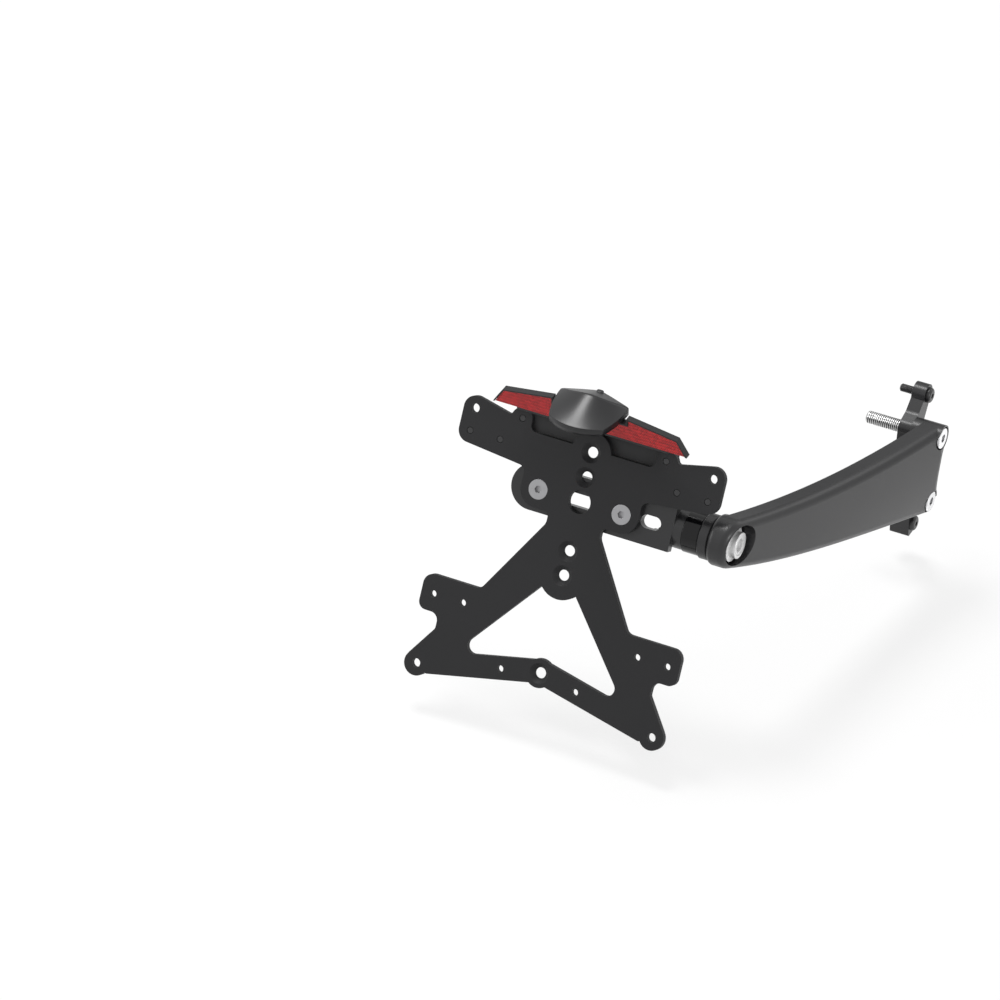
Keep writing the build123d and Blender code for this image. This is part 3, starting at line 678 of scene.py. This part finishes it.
@dataclass
class LampHood:
    """The lamp's moulded hood: a soft ridge, a bowed skirt in front and a point behind.

    Sizes are in millimetres from the origin, which is the middle of the plate's screw row: x
    across, y to the front of the bike, z up.
    """

    origin: Point = (-122.6, -194.2162, 34.15)
    tip: Place = (17.3, -4.6)
    front: float = -10.2
    corner: Place = (22.0, 21.3)
    rear: float = 28.5
    side_bow: float = 1.3
    rim: float = 57.1
    front_top: float = 61.9
    tip_top: float = 61.0
    peak: Place = (14.0, 69.1)
    rear_fall: tuple[float, float] = (0.503, 0.22)
    centre: float = 11.0
    wall: float = 0.95
    edge: float = 0.35
    ridge_round: float = 4.6
    crown: float = 1.12
    blend: float = 0.9
    corner_round: float = 1.8
    share_ends: tuple[float, float] = (-0.4, 1.5)
    eave_rise: float = 0.3
    rim_room: float = 0.1
    innermost: float = 0.02
    around: int = 240
    out: int = 44
    run_points: int = 200
    finer: int = 4
    edge_steps: int = 4

    def outline(self) -> np.ndarray:
        """The plan's outline, evenly spaced, with its corners rounded by a running mean.

        Returns:
            Points of shape (around, 2), anticlockwise seen from above.
        """
        (tx, ty), (cx, cy) = self.tip, self.corner
        t = np.linspace(0.0, 1.0, self.run_points, endpoint=False)[:, None]

        def bowed(start: Place, middle: Place, end: Place) -> np.ndarray:
            """A parabola through three points, which a flat arc hardly differs from."""
            a, b, c = (np.array(p) for p in (start, middle, end))
            return a + (4.0 * b - 3.0 * a - c) * t + (2.0 * a + 2.0 * c - 4.0 * b) * t * t

        bow = ((tx + cx) / 2 + self.side_bow, (ty + cy) / 2)
        back = (0.0, self.rear)
        runs = [
            bowed((-tx, ty), (0.0, self.front), (tx, ty)),
            bowed((tx, ty), bow, (cx, cy)),
            bowed((cx, cy), (cx / 2, (cy + self.rear) / 2), back),
            bowed(back, (-cx / 2, (cy + self.rear) / 2), (-cx, cy)),
            bowed((-cx, cy), (-bow[0], bow[1]), (-tx, ty)),
        ]
        loop = self.even(np.vstack(runs), self.around * self.finer)
        length = np.linalg.norm(np.roll(loop, -1, axis=0) - loop, axis=1).sum()
        width = max(1, int(self.corner_round / length * len(loop)))
        turns = np.fft.fftfreq(len(loop), 1.0 / len(loop))
        mean = np.sinc(turns * width / len(loop))[:, None]
        loop = np.fft.ifft(np.fft.fft(loop, axis=0) * mean, axis=0).real
        return self.even(loop, self.around)

    @staticmethod
    def even(loop: np.ndarray, count: int) -> np.ndarray:
        """Spaces a closed loop's points evenly along it.

        Args:
            loop: its points, of shape (n, 2).
            count: how many points come back.

        Returns:
            Points of shape (count, 2).
        """
        closed = np.vstack([loop, loop[:1]])
        along = np.concatenate([[0.0], np.cumsum(np.linalg.norm(np.diff(closed, axis=0), axis=1))])
        want = np.linspace(0.0, along[-1], count, endpoint=False)
        return np.stack([np.interp(want, along, closed[:, k]) for k in (0, 1)], axis=-1)

    @staticmethod
    def inwards(loop: np.ndarray, distance: float) -> np.ndarray:
        """Moves a closed loop inwards along its normals, which are its tangents turned a quarter.

        Args:
            loop: its points, of shape (n, 2), anticlockwise.
            distance: how far it moves.

        Returns:
            The moved points.
        """
        tangent = np.roll(loop, -1, axis=0) - np.roll(loop, 1, axis=0)
        tangent /= np.linalg.norm(tangent, axis=1)[:, None]
        return loop + np.stack([-tangent[:, 1], tangent[:, 0]], axis=-1) * distance

    def height(self, x: np.ndarray, y: np.ndarray) -> np.ndarray:
        """The roof's height.

        In front it falls from the ridge to the eaves by a power of the share of the half width,
        behind it is a plane on each side, and a soft minimum of the two rounds the crease between
        them.

        Args:
            x: places across.
            y: places along.

        Returns:
            Heights above the screw row.
        """
        (tx, ty), (cx, cy) = self.tip, self.corner
        peak_y, peak_z = self.peak
        across = np.sqrt(x * x + self.ridge_round ** 2) - self.ridge_round
        share = np.clip((y - ty) / (cy - ty), *self.share_ends)
        within = np.clip(share, 0.0, 1.0)
        half = tx + (cx - tx) * share + 4.0 * self.side_bow * within * (1.0 - within)
        edge = np.sqrt(half * half + self.ridge_round ** 2) - self.ridge_round
        climb = (peak_z - self.front_top) * (y - self.front) / (peak_y - self.front)
        ridge = self.front_top + climb
        eave = self.tip_top + self.eave_rise * share
        side = ridge - (ridge - eave) * (across / edge) ** self.crown
        back = peak_z - self.rear_fall[0] * (y - peak_y) - self.rear_fall[1] * across
        gap = np.clip(0.5 + (side - back) / (2.0 * self.blend), 0.0, 1.0)
        return side + (back - side) * gap - self.blend * gap * (1.0 - gap)

    def build(self) -> bpy.types.Object:
        """Builds the hood as one closed shell: roof, soft edge, skirt, rim, and the same inside.

        Each row of the grid is the outline shrunk towards the middle, from the peak out and back
        in again.

        Returns:
            The hood's object.
        """
        outer = self.outline()
        inner = self.inwards(outer, self.wall)
        middle = np.array([0.0, self.centre])
        share = np.linspace(self.innermost, 1.0, self.out)[:, None, None]
        fillet = self.inwards(outer, self.edge)
        roof = middle + (fillet - middle) * share
        top = self.height(roof[..., 0], roof[..., 1])
        eave = top[-1]
        rows = [np.dstack([roof, top])]
        for angle in np.linspace(0.0, math.pi / 2, self.edge_steps + 1)[1:, None]:
            ring = fillet + (outer - fillet) * np.sin(angle)
            rows.append(np.dstack([ring[None], (eave - self.edge * (1.0 - np.cos(angle)))[None]]))
        for level in (0.5, 0.0):
            drop = self.rim + (eave - self.edge - self.rim) * level
            rows.append(np.dstack([outer[None], drop[None]]))
        rows.append(np.dstack([inner[None], np.full((1, len(inner)), self.rim)]))
        hollow = middle + (inner - middle) * share[::-1]
        under = self.height(hollow[..., 0], hollow[..., 1]) - self.wall
        rows.append(np.dstack([hollow, np.maximum(under, self.rim + self.rim_room)]))
        points = (np.vstack(rows) + np.array(self.origin)) * MM
        return grid_mesh("lamp_hood", points[:, ::-1])


@dataclass
class HoodLug:
    """The small rounded lug at the back of the hood."""

    middle: Point = (-121.8, -168.2, 95.4)
    half: Point = (2.2, 1.5, 2.7)
    power: float = 0.35
    rows: int = 18
    around: int = 40

    def build(self) -> bpy.types.Object:
        """Builds the lug.

        It is a superellipsoid: sines and cosines of the two angles, each to the same small power,
        which makes a box with round edges.

        Returns:
            The lug's object.
        """
        rise = np.linspace(-math.pi / 2, math.pi / 2, self.rows)[1:-1, None]
        turn = np.linspace(0.0, 2.0 * math.pi, self.around, endpoint=False)[None, :]

        def soft(value: np.ndarray) -> np.ndarray:
            """The value to the power, with its sign kept."""
            return np.sign(value) * np.abs(value) ** self.power

        x = soft(np.cos(rise)) * soft(np.cos(turn))
        y = soft(np.cos(rise)) * soft(np.sin(turn))
        z = soft(np.sin(rise)) * np.ones_like(turn)
        points = (np.stack([x, y, z], axis=-1) * np.array(self.half) + np.array(self.middle)) * MM
        return grid_mesh("lamp_lug", points)


# Sub-assemblies


@dataclass
class SideArm:
    """The arm with the adapter, the frame bolts and the index ring."""

    finishes: dict[str, Finish] = field(default_factory=lambda: {
        "side_arm": Finish.ARM, "adapter_bracket": Finish.MACHINED, "index_ring": Finish.MACHINED,
        "upper_frame_bolt": Finish.BRIGHT, "lower_frame_bolt": Finish.BRIGHT,
        "frame_washers": Finish.BRIGHT, "upper_adapter_screw": Finish.OXIDE,
        "lower_adapter_screw": Finish.OXIDE,
    })
    upper_eye: Place = (19.5 * MM, 13.5 * MM)
    lower_eye: Place = (4.4 * MM, -73.6 * MM)
    lower_eye_face: float = -4.0 * MM
    upper_bolt_end: float = -22.55 * MM
    lower_bolt_end: float = -25.05 * MM
    screw_end: float = -9.55 * MM

    def threads(self) -> list[ThreadedEnd]:
        """The four free threaded ends."""
        large = {"root": 3.61 * MM, "crest": 4.0 * MM, "pitch": 1.25 * MM, "finish": Finish.BRIGHT}
        small = {"root": 2.26 * MM, "crest": 2.5 * MM, "pitch": 0.8 * MM, "finish": Finish.OXIDE}
        return [
            ThreadedEnd("upper_bolt_thread", 0.0, 0.0, 0.0, self.upper_bolt_end, **large),
            ThreadedEnd("lower_bolt_thread", *LOWER_BOLT, 0.0, self.lower_bolt_end, **large),
            ThreadedEnd("upper_screw_thread", *self.upper_eye, 0.0, self.screw_end, **small),
            ThreadedEnd("lower_screw_thread", *self.lower_eye, self.lower_eye_face, self.screw_end,
                        **small),
        ]


@dataclass
class PlateGroup:
    """The plate with its support, pivot stack, lamp and reflectors."""

    finishes: dict[str, Finish] = field(default_factory=lambda: {
        "plate_bracket": Finish.POWDER, "plate_studs": Finish.OXIDE, "carrier_nuts": Finish.GREY,
        "plate_screws": Finish.GREY, "support_bracket": Finish.MACHINED,
        "pivot_spacer": Finish.RING, "pivot_bolt": Finish.BRIGHT, "pivot_washer": Finish.BRIGHT,
        "lamp_carrier": Finish.POWDER, "left_reflector_frame": Finish.PLASTIC,
        "right_reflector_frame": Finish.PLASTIC, "left_reflector_lens": Finish.RED,
        "right_reflector_lens": Finish.RED, "lamp_base": Finish.PLASTIC, "lamp_lens": Finish.CLEAR,
    })


class Paintshop:
    """Makes each finish once and dresses CAD nodes and pieces with it."""

    def __init__(self, effects: Effects) -> None:
        """Builds the materials.

        Args:
            effects: the shared groups.
        """
        recipes = {
            (Finish.POWDER, ""): Coat(
                (0.012, 0.012, 0.013), 0.62, specular=0.3, grain=0.25 * MM, bump=0.03 * MM),
            # painted light: the carrier's coat is a lighter copy of the plate's, to lift it out of
            # the shade behind the plate
            (Finish.POWDER, "carrier"): Coat((0.024, 0.024, 0.025), 0.6, bump=0.03 * MM),
            (Finish.ARM, ""): Coat(
                (0.015, 0.015, 0.016), 0.4, specular=0.3, gloss_coat=0.3, coat_roughness=0.27),
            (Finish.MACHINED, ""): Coat(
                (0.012, 0.012, 0.013), 0.36, specular=0.4, bump=0.01 * MM, gloss_coat=0.08),
            (Finish.MACHINED, "bracket"): Coat(
                (0.012, 0.012, 0.013), 0.36, specular=0.4, gloss_coat=0.15),
            (Finish.RING, ""): Coat((0.002, 0.002, 0.0025), 0.14, specular=0.3, bump=0.002 * MM),
            (Finish.BRIGHT, ""): Steel((0.74, 0.74, 0.75), 0.24),
            (Finish.BRIGHT, "lower"): Steel((0.74, 0.74, 0.75), 0.24, *LOWER_BOLT),
            (Finish.BRIGHT, "pivot"): Steel(
                (0.72, 0.72, 0.72), 0.4, *PIVOT, pitch=0.9 * MM, bump=0.02 * MM, metallic=0.8),
            # painted light: the washer is a lighter, less metallic copy of the bright steel so that
            # it looks lit in its recess
            (Finish.BRIGHT, "washer"): Steel(
                (0.93, 0.93, 0.93), 0.42, *PIVOT, pitch=0.9 * MM, bump=0.02 * MM, metallic=0.5),
            # thread finishes: the crest colour, then the dark groove colour that paints shade
            (Finish.BRIGHT, "thread"): Thread((0.82, 0.82, 0.82), (0.07, 0.07, 0.07), 0.26, 1.0),
            (Finish.GREY, ""): Steel((0.34, 0.34, 0.35), 0.38),
            (Finish.OXIDE, ""): Coat((0.014, 0.014, 0.015), 0.36, specular=0.5),
            (Finish.OXIDE, "thread"): Thread((0.05, 0.05, 0.052), (0.002, 0.002, 0.002), 0.34, 0.2),
            (Finish.RED, ""): ReflectorRed(),
            (Finish.PLASTIC, ""): Coat(
                (0.011, 0.011, 0.012), 0.46, specular=0.3, grain=0.4 * MM, bump=0.015 * MM),
            (Finish.LAMP, ""): Coat(
                (0.011, 0.011, 0.012), 0.33, specular=0.37, grain=0.5 * MM, bump=0.003 * MM),
            (Finish.CLEAR, ""): ClearWindow(),
        }
        self.materials = {}
        for (finish, variant), recipe in recipes.items():
            name = "_".join(filter(None, (finish.value, variant)))
            self.materials[finish, variant] = recipe.build(name, effects)

    def paint(self, piece: bpy.types.Object, finish: Finish, variant: str = "") -> None:
        """Puts the finish on every slot of the piece.

        Args:
            piece: a CAD node's object or a new piece.
            finish: which finish it gets.
            variant: which variant of the finish, where it has several.
        """
        material = self.materials[finish, variant]
        if piece.material_slots:
            for slot in piece.material_slots:
                slot.material = material
        else:
            piece.data.materials.append(material)


# Studio


@dataclass(frozen=True)
class SoftLight:
    """A square soft light, with its place and side in metres and its power in watts."""

    name: str
    place: Point
    side: float
    power: float

    def build(self, target: Point) -> None:
        """Adds the light.

        Args:
            target: the point that it faces.
        """
        light = bpy.data.lights.new(self.name, "AREA")
        light.shape, light.size, light.energy = "SQUARE", self.side, self.power
        made = bpy.data.objects.new(self.name, light)
        made.location = self.place
        made.rotation_mode = "QUATERNION"
        made.rotation_quaternion = (Vector(target) - Vector(self.place)).to_track_quat("-Z", "Y")
        bpy.context.scene.collection.objects.link(made)


def flat_sheet(
    name: str, middle: Point, across: Point, along: Point, material: bpy.types.Material
) -> bpy.types.Object:
    """Makes a flat sheet for the studio.

    Args:
        name: its name.
        middle: its middle in metres.
        across: the way from the middle to one edge.
        along: the way from the middle to the next edge.
        material: its material.

    Returns:
        The sheet's object, linked to the scene.
    """
    centre, right, far = (np.array(vector) for vector in (middle, across, along))
    turns = ((-1, -1), (1, -1), (1, 1), (-1, 1))
    corners = [centre + right * sideways + far * onwards for sideways, onwards in turns]
    mesh = bpy.data.meshes.new(name)
    mesh.from_pydata(corners, [], [(0, 1, 2, 3)])
    mesh.materials.append(material)
    sheet = bpy.data.objects.new(name, mesh)
    bpy.context.scene.collection.objects.link(sheet)
    return sheet


@dataclass
class Studio:
    """Pale floor, soft light and the camera at the photograph's place.

    The azimuth, the elevation and the aim were fitted to the photograph. floor_room is the room
    below the part, so that the plate clears the floor at its lowest tilt. Each sheen pair says
    where the floor's sheen starts, ends or fades: the first two as distances from the arm's outer
    face, which arm_way and arm_reach give, and sheen_rear as places along the bike.
    """

    azimuth: float = 26.65
    elevation: float = 37.68
    focal_pixels: float = 6040.0
    image_pixels: float = 1000.0
    metres_per_pixel: float = 0.5846 * MM
    aim: Point = (-121.8 * MM, -194.0 * MM, 34.0 * MM)
    aim_pixel: Place = (579.55, 502.1)
    sensor: float = 36.0
    clip: tuple[float, float] = (0.05, 60.0)
    floor_half: float = 6.0
    floor_room: float = 18.5 * MM
    floor_lift: float = 0.72
    floor_tone: float = 0.86
    floor_roughness: float = 0.9
    sky: float = 0.55
    arm_way: Place = (0.9603, -0.2789)
    arm_reach: float = 26.9 * MM
    sheen_start: tuple[float, float] = (0.016, 0.028)
    sheen_end: tuple[float, float] = (0.02, 0.066)
    sheen_rear: tuple[float, float] = (-0.2, 0.0)
    sheen_gain: float = 2.5
    card_place: Point = (-0.45, 1.3, 0.33)
    card_half: tuple[float, float] = (0.9, 0.4)
    card_tone: float = 0.3
    lights: tuple[SoftLight, ...] = (
        SoftLight("top_light", (-0.72, 0.22, 1.6), 0.55, 18.5),
        SoftLight("right_light", (1.45, -0.65, 0.62), 0.25, 6.0),
        SoftLight("left_light", (-1.5, -0.9, 0.9), 1.0, 9.0),
        SoftLight("back_light", (0.6, 1.4, 1.0), 1.0, 4.0),
    )

    def camera(self) -> None:
        """Places the camera from the fitted angles, with the aim point at its fitted pixel."""
        turn, rise = math.radians(self.azimuth), math.radians(self.elevation)
        right = Vector((math.cos(turn), math.sin(turn), 0.0))
        level = Vector((-math.sin(turn), math.cos(turn), 0.0))
        upright = Vector((0.0, 0.0, 1.0))
        up = level * math.sin(rise) + upright * math.cos(rise)
        ahead = level * math.cos(rise) - upright * math.sin(rise)
        middle = self.image_pixels / 2
        across = (self.aim_pixel[0] - middle) * self.metres_per_pixel
        above = (middle - self.aim_pixel[1]) * self.metres_per_pixel
        distance = self.focal_pixels * self.metres_per_pixel
        place = Vector(self.aim) - right * across - up * above - ahead * distance
        lens = bpy.data.cameras.new("camera")
        lens.sensor_width = self.sensor
        lens.lens = self.focal_pixels / self.image_pixels * self.sensor
        lens.clip_start, lens.clip_end = self.clip
        seat = bpy.data.objects.new("camera", lens)
        seat.matrix_world = Matrix((
            (right.x, up.x, -ahead.x, place.x),
            (right.y, up.y, -ahead.y, place.y),
            (right.z, up.z, -ahead.z, place.z),
            (0.0, 0.0, 0.0, 1.0),
        ))
        bpy.context.scene.collection.objects.link(seat)
        bpy.context.scene.camera = seat

    @staticmethod
    def ramp(kit: Tree, value: object, ends: Place, shape: str) -> bpy.types.NodeSocket:
        """A mask that rises from zero to one.

        Args:
            kit: the tree to add to.
            value: the socket that it follows.
            ends: the value where it is zero and the value where it is one.
            shape: its interpolation, LINEAR or SMOOTHSTEP.

        Returns:
            The mask's socket.
        """
        node = kit.add("MapRange", {"Value": value, "From Min": ends[0], "From Max": ends[1]},
                       interpolation_type=shape)
        return node.outputs["Result"]

    def floor(self, height: float) -> None:
        """Lays the floor, which the camera and reflections see as white with the object's shadow.

        Reflections see a brighter band beside the arm's outer face, as of a strip light that lies
        there.

        Args:
            height: the floor's height in metres.
        """
        made, kit, shader = new_material("floor_white")
        shader.inputs["Base Color"].default_value = (self.floor_tone,) * 3 + (1.0,)
        shader.inputs["Roughness"].default_value = self.floor_roughness
        shader.inputs["Specular IOR Level"].default_value = 0.0
        place = kit.add("TexCoord").outputs["Object"]
        outwards = kit.vector("DOT_PRODUCT", place, self.arm_way + (0.0,)).outputs["Value"]
        away = kit.math("SUBTRACT", outwards, self.arm_reach)
        back = kit.add("SeparateXYZ", {"Vector": place}).outputs["Y"]
        near = self.ramp(kit, away, self.sheen_end[::-1], "SMOOTHSTEP")
        side = self.ramp(kit, away, self.sheen_start, "SMOOTHSTEP")
        along = self.ramp(kit, back, self.sheen_rear, "LINEAR")
        band = kit.math("MULTIPLY", kit.math("MULTIPLY", near, side), along)
        sheen = kit.math("MULTIPLY", band, kit.add("LightPath").outputs["Is Glossy Ray"])
        strength = kit.math("ADD", 1.0, kit.math("MULTIPLY", sheen, self.sheen_gain))
        glow = kit.add("Emission", {"Color": (1.0, 1.0, 1.0, 1.0), "Strength": strength})
        blend = kit.add("MixShader", {0: kit.math("MULTIPLY", seen_ray(kit), self.floor_lift)})
        kit.feed(blend.inputs[1], shader.outputs[0])
        kit.feed(blend.inputs[2], glow.outputs[0])
        kit.feed(made.node_tree.nodes["Material Output"].inputs["Surface"], blend.outputs[0])
        half = self.floor_half
        floor = flat_sheet("floor", (0.0, 0.0, height), (half, 0.0, 0.0), (0.0, half, 0.0), made)

    def grey_card(self) -> None:
        """Stands a grey card beyond the bike's end, which only reflections see.

        It keeps slopes dark that face away from the camera.
        """
        made = bpy.data.materials.new("card_grey")
        made.use_nodes = True
        kit = Tree(made.node_tree)
        glow = kit.add("Emission", {"Color": (1.0, 1.0, 1.0, 1.0), "Strength": self.card_tone})
        kit.feed(made.node_tree.nodes["Material Output"].inputs["Surface"], glow.outputs[0])
        half, rise = self.card_half
        card = flat_sheet("grey_card", self.card_place, (half, 0.0, 0.0), (0.0, 0.0, rise), made)
        for way in ("camera", "diffuse", "shadow", "transmission", "volume_scatter"):
            setattr(card, "visible_" + way, False)

    def world(self) -> None:
        """A white surround for the camera and reflections, and an even grey one for light."""
        world = bpy.data.worlds.new("studio")
        bpy.context.scene.world = world
        world.use_nodes = True
        kit = Tree(world.node_tree)
        background = world.node_tree.nodes["Background"]
        seen = seen_ray(kit)
        kit.feed(background.inputs["Strength"], kit.add(
            "MapRange", {"Value": seen, "To Min": self.sky, "To Max": 1.0}).outputs["Result"])
        background.inputs["Color"].default_value = (1.0, 1.0, 1.0, 1.0)

    def build(self, low: Vector, high: Vector) -> None:
        """Sets the whole studio up round the object.

        Args:
            low: the object's lowest corner.
            high: its highest corner.
        """
        middle = tuple((low + high) / 2)
        self.camera()
        self.floor(low.z - self.floor_room)
        self.world()
        self.grey_card()
        for light in self.lights:
            light.build(middle)
        bpy.context.scene.view_settings.view_transform = "Standard"


def seen_ray(kit: Tree) -> bpy.types.NodeSocket:
    """One for rays from the camera and for glossy and transmitted ones, and zero for diffuse ones.

    Args:
        kit: the tree to add to.

    Returns:
        The mask's socket.
    """
    path = kit.add("LightPath")
    either = kit.math("MAXIMUM", path.outputs["Is Camera Ray"], path.outputs["Is Glossy Ray"])
    return kit.math("MAXIMUM", either, path.outputs["Is Transmission Ray"])


def add_piece(
    piece: bpy.types.Object, finish: Finish, body: Body, shop: Paintshop, variant: str = ""
) -> bpy.types.Object:
    """Dresses a new piece and fixes it to its body.

    Args:
        piece: the piece's object.
        finish: its finish.
        body: the body that it rides on.
        shop: where the finishes are.
        variant: which variant of the finish.

    Returns:
        The piece.
    """
    shop.paint(piece, finish, variant)
    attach(piece, body.value)
    LOG.info("added %s", piece.name)
    return piece


def main() -> None:
    """Dresses the part, adds its pieces and sets up the studio."""
    logging.basicConfig(level=logging.INFO, format="%(name)s: %(message)s")
    shop = Paintshop(Effects())
    arm, plate = SideArm(), PlateGroup()
    for group in (arm, plate):
        for node, finish in group.finishes.items():
            shop.paint(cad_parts[node], finish, VARIANTS.get(node, ""))
            LOG.info("dressed %s in %s", node, finish.value)
    for end in arm.threads():
        add_piece(end.build(), end.finish, Body.ARM, shop, "thread")
    hood = add_piece(LampHood().build(), Finish.LAMP, Body.PLATE, shop)
    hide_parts("lamp_housing")
    add_piece(HoodLug().build(), Finish.LAMP, Body.PLATE, shop)
    Studio().build(*CAD_BOX)


if __name__ == "__main__":
    main()
